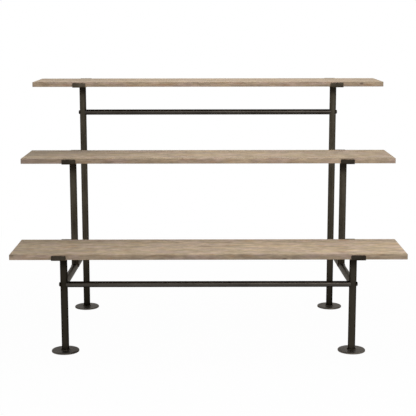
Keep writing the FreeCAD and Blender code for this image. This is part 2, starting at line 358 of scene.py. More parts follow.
leg_tone_and_painted_light = {("left", "front"): (-0.5, -0.52, -0.45), ("right", "front"): (-0.25, -0.25, -0.25),
            ("left", "rear"): (-0.8, 0.05, 0.0), ("right", "rear"): (-0.75, 0.1, 0.3)}
post_tone_and_painted_light = {"left": (0.1, 0.12, 0.12), "right": (0.1, 0.2, 0.2)}
cross_rail_bath = (0.05, 0.0, 0.05)
side_rail_bath = (0.0, 0.0, 0.0)
# painted shade: how far down from its top the board above darkens each upright
painted_shade_under_board = {"front": 0.095, "middle": 0.085, "rear": 0.064}
for side in sides:
    for row in ("front", "rear"):
        node = side + "_" + row + "_leg"
        axis = upright_axis[side, row]
        low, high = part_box(node)
        start = Vector((axis.x, axis.y, low.z))
        end = Vector((axis.x, axis.y, high.z))
        rail_end = Vector((axis.x, axis.y, rail_height["front"]))
        # the top spot is painted shade under the board, stronger and wider than a weld's heat
        darkening_spots = ((start, 0.1, 0.035), (end, 0.8, painted_shade_under_board[row]), (rail_end, 0.25, 0.040))
        pipe(node, start, end, right_way, leg_radius, (0.0, 0.0), (0.0, 0.0), darkening_spots,
             leg_tone_and_painted_light[side, row], leg_finish)

side_rail_way = {}
for side in sides:
    start = upright_axis[side, "front"].copy()
    end = upright_axis[side, "rear"].copy()
    foot_of_post = upright_axis[side, "middle"].copy()
    start.z = end.z = foot_of_post.z = rail_height["front"]
    side_rail_way[side] = (end - start).normalized()
    outward = up_way.cross(side_rail_way[side]) * -sides[side]
    darkening_spots = ((start, 0.25, 0.040), (end, 0.25, 0.040), (foot_of_post, 0.25, 0.035))
    pipe(side + "_side_rail", start, end, outward, leg_radius, (round_leg, round_leg),
         (round_washer, 0.0), darkening_spots, side_rail_bath, side_rail_finish)
    top_of_post = foot_of_post.copy()
    top_of_post.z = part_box(side + "_middle_post")[1].z
    # the top spot is painted shade under the middle board
    darkening_spots = ((foot_of_post, 0.6, 0.075), (top_of_post, 0.8, painted_shade_under_board["middle"]))
    pipe(side + "_middle_post", foot_of_post, top_of_post, outward, leg_radius, (round_leg, 0.0),
         (0.0, 0.0), darkening_spots, post_tone_and_painted_light[side], leg_finish)

for row in ("front", "rear"):
    start = upright_axis["left", row].copy()
    end = upright_axis["right", row].copy()
    start.z = end.z = rail_height[row]
    beside_side_rail = round_leg if row == "front" else 0.0
    piece = pipe(row + "_cross_rail", start, end, back_way, cross_rail_radius, (round_leg, round_leg),
                 (beside_side_rail, beside_side_rail), (), cross_rail_bath, rail_finish)
    # painted shade: each cross rail is darker towards its underside
    painted_underside_shade = [0.75 * eased((start.z - vertex.co.z) / cross_rail_radius * 2.5 - 1.0)
               for vertex in piece.data.vertices]
    piece.data.attributes["weld_heat_and_painted_shade"].data.foreach_set("value", painted_underside_shade)

# ---------------------------------------------------------------- feet
# Round plates flame-cut from 8 mm steel, their top edge ground to a bevel, blackened with the
# frame. The flat top keeps a coarse mottle of mill scale, and the rim is rubbed.

foot_finish = blackened_steel(
    "blackened_flame_cut_steel_plate", ("#3e3b37", "#474440", "#524f4a"), 0.46, "#dedbd8", False)
# painted light: the right-hand plates are lighter, on the side the light comes from
foot_tone_and_painted_light = {("left", "front"): 0.0, ("right", "front"): 0.7,
             ("left", "rear"): 0.0, ("right", "rear"): 0.15}
foot_lower_ease = 0.001
foot_edge_round = 0.0007
foot_bevel = 0.002


def shaded(work, sharp_angle):
    """Turns the faces outwards, and shades them smooth but for edges past an angle in radians."""
    bmesh.ops.recalc_face_normals(work, faces=work.faces)
    for face in work.faces:
        face.smooth = True
    for edge in work.edges:
        edge.smooth = edge.calc_face_angle(0) < sharp_angle


def skinned(work, rings):
    """Lays faces between each ring of vertices and the next."""
    for ring_low, ring_high in zip(rings, rings[1:]):
        for i in range(len(ring_low)):
            j = (i + 1) % len(ring_low)
            work.faces.new((ring_low[i], ring_low[j], ring_high[j], ring_high[i]))


def turned(outline, ring_sides, sharp_angle, hollow=False):
    """A shape turned about the Z axis, solid or a hollow ring, from rows of radius, height and wear.
    A row that ends in a fourth value is six-sided, and its radius is that to its flats."""
    work = bmesh.new()
    worn = work.verts.layers.float.new("worn")
    rings = []
    for radius, height, wear, *six_sided in outline:
        ring = []
        for i in range(ring_sides):
            a = math.tau * i / ring_sides
            from_flat = (a + math.pi / 6) % (math.pi / 3) - math.pi / 6
            reach = radius / math.cos(from_flat) if six_sided else radius
            vertex = work.verts.new((reach * math.cos(a), reach * math.sin(a), height))
            vertex[worn] = wear
            ring.append(vertex)
        rings.append(ring)
    if hollow:
        skinned(work, rings + rings[:1])
    else:
        skinned(work, rings)
        work.faces.new(list(reversed(rings[0])))
        work.faces.new(rings[-1])
    shaded(work, sharp_angle)
    return work


def mesh_of(name, work, finish=None):
    """The finished bmesh as a mesh, with its finish on if it has one yet."""
    mesh = bpy.data.meshes.new(name)
    work.to_mesh(mesh)
    work.free()
    if finish:
        mesh.materials.append(finish)
    return mesh


for side in sides:
    for row in ("front", "rear"):
        node = side + "_" + row + "_foot"
        radius = half_size(node).x
        thick = 2 * half_size(node).z
        outline = [(radius - foot_lower_ease, 0.0, 0.1), (radius, foot_lower_ease, 0.3),
                   (radius, thick - foot_bevel - foot_edge_round, 0.2)]
        for step in range(4):
            a = math.radians(45 * step / 3)
            outline.append((radius - foot_edge_round * (1 - math.cos(a)),
                            thick - foot_bevel - foot_edge_round * (1 - math.sin(a)), 0.4))
        # the bevel runs out softly into the flat top
        outline += [(radius - foot_bevel, thick - 0.0002, 0.4),
                    (radius - foot_bevel - 0.0008, thick, 0.3),
                    (radius - foot_bevel - 0.004, thick, 0.0)]
        outline += [(radius * share, thick, 0.0) for share in (0.75, 0.5, 0.3)]
        mesh = mesh_of("plate_" + node, turned(outline, 96, math.inf), foot_finish)
        centre = centre_of(node)
        half_up = up_way * thick / 2
        mesh.transform(Matrix.Translation(centre - half_up))
        darkened_by_heat_and_shade(mesh, ((centre + half_up, 0.1, 0.035),))
        mark(mesh, "bath_tone_and_painted_light", foot_tone_and_painted_light[side, row])
        fixed_to_frame(standing("plate_" + node, mesh), "blackened_steel", node)

# ---------------------------------------------------------------- saddles
# Flat bar, 68 by 4 mm, bent up at both ends to hold a board by its edges, and welded across the
# top of an upright. The corners of the lips are rounded and their arrises broken with a file.

saddle_finish = blackened_steel(
    "blackened_and_filed_flat_bar", ("#29241e", "#2f2a23", "#39332b"), 0.46, "#a09a94", False)
saddle_bath = {("left", "front"): 0.65, ("left", "middle"): 0.28, ("left", "rear"): 1.6,
               ("right", "front"): 0.05, ("right", "middle"): 0.3, ("right", "rear"): 0.9}
bar_thick = 0.004
bend_radius = 0.002
lip_corner = 0.006
front_lip_height = 0.0205
lip_steps = (0.0, 0.0015, 0.003, 0.0045, 0.006, 0.012)
width_steps = (-1, -0.97, -0.9, -0.6, -0.3, 0, 0.3, 0.6, 0.9, 0.97, 1)
flat_steps = 40
board_on = {"front": "front_shelf", "middle": "middle_shelf", "rear": "top_shelf"}

for side in sides:
    for row, board_node in board_on.items():
        node = side + "_" + row + "_saddle"
        low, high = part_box(node)
        middle_x = (low.x + high.x) / 2
        half_wide = (high.x - low.x) / 2
        floor_z = low.z + bar_thick
        inner_front = low.y + bar_thick
        inner_back = high.y - bar_thick
        front_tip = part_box(board_node)[0].z + front_lip_height
        # the bar's inner face seen from the side, tip to tip: each point's place back, its height,
        # and the way from it to the bar's outer face
        bends = {}
        for toward, bend_y in ((-1, inner_front + bend_radius), (1, inner_back - bend_radius)):
            bends[toward] = []
            for step in range(7):
                a = math.radians(15 * step)
                way = Vector((0, toward * math.cos(a), -math.sin(a)))
                spot = (bend_y + way.y * bend_radius, floor_z + bend_radius + way.z * bend_radius, way)
                bends[toward].append(spot)
        flat_long = inner_back - inner_front - 2 * bend_radius
        path = [(inner_front, front_tip - down, -back_way) for down in lip_steps] + bends[-1]
        path += [(inner_front + bend_radius + flat_long * step / flat_steps, floor_z, -up_way)
                 for step in range(1, flat_steps)]
        path += bends[1][::-1] + [(inner_back, high.z - down, back_way) for down in lip_steps[::-1]]
        work = bmesh.new()
        worn = work.verts.layers.float.new("worn")
        rows = []
        for y, z, way in path:
            tip = front_tip if y < (inner_front + inner_back) / 2 else high.z
            on_lip = abs(way.y) > 0.99
            short = lip_corner - min(lip_corner, abs(tip - z)) if on_lip else 0.0
            narrow = lip_corner - math.sqrt(max(0.0, lip_corner ** 2 - short ** 2))
            at_tip = on_lip and abs(tip - z) < 0.002
            pairs = []
            for lateral in width_steps:
                x = middle_x + lateral * (half_wide - narrow)
                pair = [work.verts.new((x, y + way.y * out, z + way.z * out)) for out in (0.0, bar_thick)]
                for vertex in pair:
                    vertex[worn] = 1.0 if at_tip or abs(lateral) == 1 else 0.0
                pairs.append(pair)
            rows.append(pairs)
        for now, after in zip(rows, rows[1:]):
            for i in range(len(now) - 1):
                work.faces.new((now[i][0], now[i + 1][0], after[i + 1][0], after[i][0]))
                work.faces.new((now[i][1], after[i][1], after[i + 1][1], now[i + 1][1]))
            for i in (0, -1):
                work.faces.new((now[i][0], after[i][0], after[i][1], now[i][1]))
        for tip_row in (rows[0], rows[-1]):
            for here, beside in zip(tip_row, tip_row[1:]):
                work.faces.new((here[0], here[1], beside[1], beside[0]))
        shaded(work, math.inf)
        mesh = mesh_of("saddle_" + node, work, saddle_finish)
        piece = standing("saddle_" + node, mesh)
        arris = piece.modifiers.new("filed_arris", "BEVEL")
        arris.width = 0.0006
        arris.segments = 2
        arris.limit_method = "ANGLE"
        arris.angle_limit = math.radians(50)
        arris.harden_normals = True
        axis = upright_axis[side, row]
        darkened_by_heat_and_shade(mesh, ((Vector((axis.x, axis.y, low.z)), 0.4, 0.05),))
        mark(mesh, "bath_tone_and_painted_light", saddle_bath[side, row])
        fixed_to_frame(piece, "blackened_steel", node)

# ---------------------------------------------------------------- welds
# A hand-laid fillet weld runs round every welded joint: pipe to foot plate, pipe to saddle, side
# rail to leg, and post to side rail. Each is a chain of overlapping ripples, wire-brushed and
# blackened with the rest.

weld_finish = blackened_steel(
    "blackened_wire_brushed_weld", ("#322e28", "#3c3831", "#48433b"), 0.42, "#a09a94", False)
bead_size = 0.0031
ripple_pitch = 0.0024
weld_bed = 0.0012

weld_tree, known = shape_tree(
    "weld_ripples", Float=("Pipe Radius", "Met Radius", "Bare Radius", "Bead Size", "Ripple Pitch"),
    Int=("Seed",), Material=("Finish",))
place = add(weld_tree, "GeometryNodeInputPosition")
circle = add(weld_tree, "GeometryNodeCurvePrimitiveCircle",
             {"Resolution": 96, "Radius": known["Pipe Radius"]}, mode="RADIUS")
circle_place = add(weld_tree, "ShaderNodeSeparateXYZ", {0: place}).outputs
known["across"] = circle_place["X"]
# the seam is left bare where a bolted rail and its washer sit on the leg
flat_place = add(weld_tree, "ShaderNodeVectorMath", {0: place, 1: (1.0, 0.0, 1.0)}, operation="MULTIPLY")
known["from bolt"] = add(weld_tree, "ShaderNodeVectorMath", {0: flat_place}, operation="LENGTH")
known["uneven"] = add(weld_tree, "FunctionNodeRandomValue", {2: 0.86, 3: 1.08, "Seed": known["Seed"]})
for name, operation, *terms in (
        ("met squared", "MULTIPLY", "Met Radius", "Met Radius"),
        ("across squared", "MULTIPLY", "across", "across"),
        ("left", "SUBTRACT", "met squared", "across squared"),
        ("left", "MAXIMUM", "left", 0.0),
        ("climb", "SQRT", "left"),
        ("is bare", "LESS_THAN", "from bolt", "Bare Radius"),
        ("fat", "MULTIPLY", "Bead Size", "uneven"),
        ("thin", "MULTIPLY", "Ripple Pitch", 0.95)):
    values = {i: known.get(term, term) for i, term in enumerate(terms)}
    known[name] = add(weld_tree, "ShaderNodeMath", values, operation=operation)
seam_point = add(weld_tree, "ShaderNodeCombineXYZ",
                 {0: known["climb"], 1: circle_place["X"], 2: circle_place["Y"]})
seam = add(weld_tree, "GeometryNodeSetPosition", {"Geometry": circle, "Position": seam_point})
even = add(weld_tree, "GeometryNodeCurveToPoints",
           {"Curve": seam, "Length": known["Ripple Pitch"]}, mode="LENGTH")
kept = add(weld_tree, "GeometryNodeDeleteGeometry", {"Geometry": even, "Selection": known["is bare"]})
# each ripple is a flattened ball, thin along the seam, its size and tilt a little uneven
ball = add(weld_tree, "GeometryNodeMeshUVSphere", {"Segments": 10, "Rings": 6, "Radius": 1.0})
shape = add(weld_tree, "ShaderNodeCombineXYZ", {0: known["fat"], 1: known["fat"], 2: known["thin"]})
wobble = add(weld_tree, "FunctionNodeRandomValue",
             {0: (-0.12, -0.12, -0.12), 1: (0.12, 0.12, 0.12), "Seed": known["Seed"]},
             data_type="FLOAT_VECTOR")
heading = add(weld_tree, "ShaderNodeVectorMath", {0: even.outputs["Tangent"], 1: wobble}, operation="ADD")
facing = add(weld_tree, "FunctionNodeAlignRotationToVector", {"Vector": heading}, axis="Z")
beads = add(weld_tree, "GeometryNodeInstanceOnPoints",
            {"Points": kept, "Instance": ball, "Rotation": facing, "Scale": shape})
end_tree(weld_tree, beads, known["Finish"])

weld_pieces = []


def weld(joint, pipe_way, across_way, met_radius, bare_radius=0.0):
    """One weld round a pipe's end; the pipe runs away from the joint along pipe_way."""
    number = len(weld_pieces) + 1
    piece = grown("weld_%02d" % number, weld_tree, {
        "Pipe Radius": leg_radius + weld_bed, "Met Radius": met_radius, "Bare Radius": bare_radius,
        "Bead Size": bead_size, "Ripple Pitch": ripple_pitch, "Seed": number, "Finish": weld_finish})
    laid(piece.data, joint, pipe_way, across_way)
    weld_pieces.append(piece)


for (side, row), axis in upright_axis.items():
    saddle_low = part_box(side + "_" + row + "_saddle")[0].z
    weld(Vector((axis.x, axis.y, saddle_low)), -up_way, right_way, 0.0)
    if row != "middle":
        plate_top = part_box(side + "_" + row + "_foot")[1].z
        weld(Vector((axis.x, axis.y, plate_top)), up_way, right_way, 0.0)
    rail_joint = Vector((axis.x, axis.y, rail_height["front"]))
    rail_across = up_way.cross(side_rail_way[side])
    if row == "front":
        weld(rail_joint, side_rail_way[side], rail_across, leg_radius, cross_rail_radius + bead_size)
    elif row == "rear":
        weld(rail_joint, -side_rail_way[side], rail_across, leg_radius)
    else:
        weld(rail_joint, up_way, rail_across, leg_radius)

work = bmesh.new()
for piece in weld_pieces:
    work.from_mesh(piece.data)
    bpy.data.objects.remove(piece)
mesh = mesh_of("frame_welds", work, weld_finish)
mesh.polygons.foreach_set("material_index", [0] * len(mesh.polygons))
mesh.shade_smooth()
mark(mesh, "worn", 0.4)
mark(mesh, "weld_heat_and_painted_shade", 0.15)
fixed_to_frame(standing("frame_welds", mesh), "blackened_steel")

# ---------------------------------------------------------------- cross rail fixings
# Low-domed M12 bolts with a hexagon socket, one at each end of a cross rail. Each passes a round
# washer hollowed to the leg, then the leg, and screws into a tapped plug inside the rail's end.

bolt_finish = blackened_steel(
    "blackened_domed_bolt_steel", ("#1e1b17", "#26221d", "#332e28"), 0.38, "#a09a94", False)
bolt_radius = 0.006
bolt_point = 0.001
bolt_tip = -0.0425
washer_thick = 0.0015
washer_hole = bolt_radius + 0.00025
seat = leg_radius + washer_thick
head_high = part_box("front_rail_bolts")[1].x - upright_axis["right", "front"].x - seat
crown = seat + head_high
crown_flat = 0.0046
dome_rim = 0.0011
rim_ease = 0.0004
half_socket = 0.0035
socket_deep = 0.0028

# A fixing is drawn standing, turned to any angle, leant over if it lies level, and faces left or
# right. Its tree serves the boards' screws too, which stand in more than one row.
fixing_tree, known = shape_tree(
    "fixings_in_place", Geometry=("Fixing",), Float=("Spacing", "Step", "Row Place", "Height"),
    Int=("Rows", "Seed"), Vector=("Lean",), Material=("Finish",))
grid = add(fixing_tree, "GeometryNodeMeshGrid", {
    "Size X": known["Spacing"], "Size Y": known["Step"], "Vertices X": 2, "Vertices Y": known["Rows"]})
moved = add(fixing_tree, "ShaderNodeCombineXYZ", {1: known["Row Place"], 2: known["Height"]})
spots = add(fixing_tree, "GeometryNodeSetPosition", {"Geometry": grid, "Offset": moved})
place = add(fixing_tree, "GeometryNodeInputPosition")
which = add(fixing_tree, "ShaderNodeSeparateXYZ", {0: place})
which = add(fixing_tree, "ShaderNodeMath", {0: which}, operation="SIGN")
half_round = add(fixing_tree, "ShaderNodeMath", {0: which, 1: -math.pi / 2, 2: math.pi / 2},
                 operation="MULTIPLY_ADD")
any_angle = add(fixing_tree, "FunctionNodeRandomValue", {2: 0.0, 3: math.tau, "Seed": known["Seed"]})
spun, faced = [add(fixing_tree, "ShaderNodeCombineXYZ", {2: angle}) for angle in (any_angle, half_round)]
facing = add(fixing_tree, "FunctionNodeEulerToRotation", {0: spun})
for turn in (known["Lean"], faced):
    turn = add(fixing_tree, "FunctionNodeEulerToRotation", {0: turn})
    facing = add(fixing_tree, "FunctionNodeRotateRotation", {0: facing, 1: turn}, rotation_space="GLOBAL")
driven = add(fixing_tree, "GeometryNodeInstanceOnPoints",
             {"Points": spots, "Instance": known["Fixing"], "Rotation": facing})
end_tree(fixing_tree, driven, known["Finish"])

outline = [(bolt_radius * 0.82, bolt_tip, 0.0), (bolt_radius, bolt_tip + bolt_point, 0.0),
           (bolt_radius, seat, 0.0), (washer_radius - rim_ease, seat, 0.2),
           (washer_radius, seat + rim_ease, 0.9)]
for step in range(9):
    a = math.radians(90 * step / 8)
    outline.append((crown_flat + (washer_radius - crown_flat) * math.cos(a),
                    seat + dome_rim + (head_high - dome_rim) * math.sin(a), 0.9 if step < 2 else 0.25))
outline += [(half_socket + rim_ease, crown, 0.8, "six-sided"),
            (half_socket, crown - rim_ease, 0.6, "six-sided"),
            (half_socket, crown - socket_deep, 0.0, "six-sided")]
bolt_work = turned(outline, 48, 0.6)
# the washer is turned flat, and then its inner face is hollowed to the leg
washer_work = turned([(washer_hole, 0.0, 0.0), (washer_radius * 0.8, 0.0, 0.0), (washer_radius, 0.0, 0.5),
                      (washer_radius, seat, 1.0), (washer_hole, seat, 0.0)], 48, 0.6, hollow=True)
for vertex in washer_work.verts:
    if vertex.co.z == 0.0:
        vertex.co.z = math.sqrt(round_leg ** 2 - vertex.co.x ** 2)
fixings = {"bolts": mesh_of("one_bolt", bolt_work), "washers": mesh_of("one_washer", washer_work)}
for row, seed in (("front", 3), ("rear", 8)):
    axis = upright_axis["right", row]
    for kind, mesh in fixings.items():
        node = row + "_rail_" + kind
        piece = grown("pair_" + node, fixing_tree, {
            "Spacing": 2 * axis.x, "Rows": 1, "Row Place": axis.y, "Height": rail_height[row],
            "Lean": (math.pi / 2, 0.0, math.pi / 2), "Seed": seed, "Finish": bolt_finish}, mesh)
        fixed_to_frame(piece, "blackened_fixings", node)

# Bare turned mild steel for the tapped plugs inside the rails: grey, with faint rings left by the
# tool. The bands lie 0.314 of the scale's 12 mm apart, which is 3.8 mm.
plug_finish, tree = bare_material("bare_turned_steel")
place = add(tree, "ShaderNodeTexCoord").outputs["Object"]
tool_rings = add(tree, "ShaderNodeTexWave", {"Vector": place, "Scale": 1 / 0.012, "Distortion": 0.4},
                 wave_type="BANDS", bands_direction="X").outputs["Fac"]
grey = add(tree, "ShaderNodeMix", {0: tool_rings, 6: linear("#8f8e8a"), 7: linear("#a9a8a4")},
           data_type="RGBA")
shader = add(tree, "ShaderNodeBsdfPrincipled", {"Base Color": grey, "Metallic": 1.0, "Roughness": 0.35})
add(tree, "ShaderNodeOutputMaterial", {"Surface": shader})
for row in ("front", "rear"):
    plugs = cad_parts[row + "_rail_plugs"]
    plugs.data.materials.clear()
    plugs.data.materials.append(plug_finish)

# ---------------------------------------------------------------- boards
# Three boards of reclaimed pine, each glued up from three flat-sawn staves, planed, brushed and
# greyed, with a dull wax. Handling has rounded every arris. The grain is drawn as growth rings in
# the solid, so tops, edges and ends agree.

# Pine, brushed along the grain and greyed: soft early wood is cut back pale, and hard late wood
# stands up in darker lines. The wax keeps it dull.
wood, tree = bare_material("reclaimed_pine_brushed_greyed_and_waxed")
place = add(tree, "ShaderNodeTexCoord").outputs["Object"]
at = add(tree, "ShaderNodeSeparateXYZ", {0: place}).outputs
pith, stave = [add(tree, "ShaderNodeAttribute", attribute_name=what).outputs["Vector"]
               for what in ("pith", "stave")]
pith_at = add(tree, "ShaderNodeSeparateXYZ", {0: pith}).outputs
stave_at = add(tree, "ShaderNodeSeparateXYZ", {0: stave}).outputs
# each stave's grain is read from another part of the log
shift = add(tree, "ShaderNodeCombineXYZ", {0: stave_at["Z"], 1: pith_at["Y"], 2: pith_at["Z"]})
log_place = add(tree, "ShaderNodeVectorMath", {0: place, 1: shift}, operation="ADD")
# what varies in the log: where it is read from, its size along, across and through the log in
# millimetres, how fine and rough it is, and for open pores and for patches where the grey, a warm
# brown or a pink took deeper, the levels at which they begin and are full
figure = {}
for name, read_from, sizes, detail, roughness, *levels in (
        ("bow", (0, 0, 0), (750, 100, 100), 2.0, 0.45),
        ("fibre", (0, 0, 0), (90, 0.9, 0.9), 3.0, 0.6),
        ("pore", (0, 0, 0), (14, 0.6, 0.6), 1.0, 0.5, 0.64, 0.74),
        ("grey", (0, 0, 0), (220, 26, 26), 3.0, 0.55, 0.4, 0.64),
        ("blotch", (1.9, 4.4, 0.6), (45, 34, 10), 2.0, 0.6),
        ("warm", (3.1, 0.7, 0.2), (90, 24, 14), 3.0, 0.6, 0.5, 0.72),
        ("pink", (7.3, 2.2, 1.1), (120, 45, 30), 3.0, 0.6, 0.43, 0.62)):
    stretch = add(tree, "ShaderNodeMapping", {
        "Vector": log_place, "Location": read_from, "Scale": [1000 / size for size in sizes]})
    figure[name] = add(tree, "ShaderNodeTexNoise", {
        "Vector": stretch, "Scale": 1.0, "Detail": detail, "Roughness": roughness})
    if levels:
        figure[name] = add(tree, "ShaderNodeMapRange", {
            "Value": figure[name], "From Min": levels[0], "From Max": levels[1]},
            interpolation_type="SMOOTHSTEP")
# the knots and dark flecks: place along, place back, height, half length, half width, and depth of
# colour; each turns the rings aside round it
knots = ((-0.019, -0.400, 0.512, 0.046, 0.017, 0.62), (-0.730, -0.555, 0.512, 0.020, 0.009, 0.3),
         (-0.758, -0.594, 0.506, 0.034, 0.006, 0.4), (0.349, -0.590, 0.489, 0.018, 0.0065, 1.0),
         (0.105, -0.320, 0.512, 0.024, 0.016, 0.35), (-0.905, -0.590, 0.508, 0.014, 0.008, 0.5),
         (0.640, -0.020, 0.906, 0.014, 0.008, 0.55), (-0.310, 0.120, 0.906, 0.016, 0.007, 0.45),
         (0.800, 0.235, 1.2435, 0.012, 0.0065, 0.8), (-0.520, 0.420, 1.253, 0.014, 0.008, 0.55),
         (-0.250, 0.238, 1.240, 0.020, 0.005, 0.4), (0.420, -0.300, 0.512, 0.016, 0.008, 0.4),
         (0.150, -0.203, 0.895, 0.025, 0.004, 0.4))
knot = 0.0
knot_push = 0.0
for x, y, z, long, wide, deep in knots:
    away = add(tree, "ShaderNodeVectorMath", {0: place, 1: (x, y, z)}, operation="SUBTRACT")
    away = add(tree, "ShaderNodeVectorMath", {0: away, 1: (1 / long, 1 / wide, 1 / wide)},
               operation="MULTIPLY")
    away = add(tree, "ShaderNodeVectorMath", {0: away}, operation="LENGTH")
    dark, push = [
        add(tree, "ShaderNodeMapRange", {"Value": away, "From Min": none, "From Max": full, "To Max": most},
            interpolation_type="SMOOTHSTEP")
        for none, full, most in ((1.15, 0.35, deep), (4.0, 0.0, wide))]
    knot = add(tree, "ShaderNodeMath", {0: knot, 1: dark}, operation="MAXIMUM")
    knot_push = add(tree, "ShaderNodeMath", {0: knot_push, 1: push}, operation="ADD")
# distance from the tree's pith, which wanders and runs at a slant to the board, and distance from
# the seam between two staves
bow_at = add(tree, "ShaderNodeSeparateXYZ", {0: figure["bow"].outputs["Color"]}).outputs
known = {"along": at["X"], "back": at["Y"], "height": at["Z"],
         "slant": pith_at["X"], "pith back": pith_at["Y"], "pith height": pith_at["Z"],
         "bow back": bow_at["X"], "bow up": bow_at["Y"],
         "front seam": stave_at["X"], "back seam": stave_at["Y"]}
for name, operation, *terms in (
        ("sideways", "SUBTRACT", "back", "pith back"),
        ("sideways", "MULTIPLY_ADD", "bow back", 0.05, "sideways"),
        ("upwards", "SUBTRACT", "height", "pith height"),
        ("upwards", "MULTIPLY_ADD", "bow up", 0.045, "upwards"),
        ("upwards", "MULTIPLY_ADD", "along", "slant", "upwards"),
        ("to front", "SUBTRACT", "back", "front seam"),
        ("to back", "SUBTRACT", "back seam", "back"),
        ("to seam", "MINIMUM", "to front", "to back")):
    values = {i: known.get(term, term) for i, term in enumerate(terms)}
    known[name] = add(tree, "ShaderNodeMath", values, operation=operation)
radius_way = add(tree, "ShaderNodeCombineXYZ", {0: known["sideways"], 1: known["upwards"]})
from_pith = add(tree, "ShaderNodeVectorMath", {0: radius_way}, operation="LENGTH")
from_pith = add(tree, "ShaderNodeMath", {0: from_pith, 1: knot_push}, operation="ADD")
# growth rings 5.5 mm apart, some years wider than others, each darkening to its late wood
year_place = add(tree, "ShaderNodeCombineXYZ", {0: from_pith})
uneven = add(tree, "ShaderNodeTexNoise", {"Vector": year_place, "Scale": 1 / 0.021, "Detail": 1.0})
years = add(tree, "ShaderNodeMath", {0: from_pith, 1: 1 / 0.0055}, operation="MULTIPLY")
years = add(tree, "ShaderNodeMath", {0: uneven, 1: 2.6, 2: years}, operation="MULTIPLY_ADD")
in_year = add(tree, "ShaderNodeMath", {0: years}, operation="FRACT")
late = add(tree, "ShaderNodeValToRGB", {"Fac": in_year})
late.color_ramp.elements[0].color = (0, 0, 0, 1)
late.color_ramp.elements[1].color = (0.04, 0.04, 0.04, 1)
for position, level in ((0.45, 0.12), (0.74, 0.6), (0.88, 1.0), (0.95, 0.55)):
    late.color_ramp.elements.new(position).color = (level, level, level, 1)
# a glue line 0.7 mm wide between staves
glue = add(tree, "ShaderNodeMapRange", {"Value": known["to seam"], "From Min": 0.0008, "From Max": 0.0001},
           interpolation_type="SMOOTHSTEP")
planed_edge, arris_darkening, wood_tone_and_painted_light = [add(tree, "ShaderNodeAttribute", attribute_name=what).outputs["Fac"]
                              for what in ("planed_edge", "arris", "wood_tone_and_painted_light")]
# the planed long edges are pinker than the rest
pink = add(tree, "ShaderNodeMath", {0: planed_edge, 1: 0.27 / 0.55, 2: figure["pink"]},
           operation="MULTIPLY_ADD")
# early wood, and over it, one after another, what colours it, how far, and to what
colour = linear("#c4af8e")
# the last of these darkens the arrises all along
for what, most, code in ((late, 0.36, "#8a7258"), (figure["grey"], 0.52, "#8a7e6e"),
                         (pink, 0.55, "#c0a89a"), (figure["warm"], 0.5, "#a67c56"),
                         (figure["pore"], 0.4, "#6b5540"), (knot, 0.92, "#5a4232"),
                         (glue, 0.6, "#6a5643"), (arris_darkening, 0.7, "#705d4a")):
    share = add(tree, "ShaderNodeMath", {0: what, 1: most}, operation="MULTIPLY")
    colour = add(tree, "ShaderNodeMix", {0: share, 6: colour, 7: linear(code)}, data_type="RGBA")
# each stave has its tone, partly its own and partly painted light along the front board, lighter and darker
# by fibre and by blotch
for name, low_end, high_end, darkest, lightest in (("fibre", 0.25, 0.75, 0.93, 1.07),
                                                   ("blotch", 0.3, 0.7, 0.78, 1.22)):
    level = add(tree, "ShaderNodeMapRange", {"Value": figure[name], "From Min": low_end,
                                             "From Max": high_end, "To Min": darkest, "To Max": lightest})
    wood_tone_and_painted_light = add(tree, "ShaderNodeMath", {0: wood_tone_and_painted_light, 1: level}, operation="MULTIPLY")
colour = add(tree, "ShaderNodeVectorMath", {0: colour, "Scale": wood_tone_and_painted_light}, operation="SCALE")
# fibres and late wood stand up, and pores and glue lines lie deep
relief = figure["fibre"]
for what, height in ((late, 0.5), (figure["pore"], -0.7), (glue, -0.8)):
    relief = add(tree, "ShaderNodeMath", {0: what, 1: height, 2: relief}, operation="MULTIPLY_ADD")
bump = add(tree, "ShaderNodeBump", {"Strength": 0.5, "Distance": 0.0003, "Height": relief})
dull = add(tree, "ShaderNodeMapRange", {"Value": figure["fibre"], "From Min": 0.3, "From Max": 0.7,
                                        "To Min": 0.62, "To Max": 0.76})
shader = add(tree, "ShaderNodeBsdfPrincipled", {
    "Base Color": colour, "Roughness": dull, "Normal": bump, "IOR": 1.5, "Specular IOR Level": 0.35})
add(tree, "ShaderNodeOutputMaterial", {"Surface": shader})

arris_round = 0.0016
station_pitch = 0.006
row_pitch = 0.014


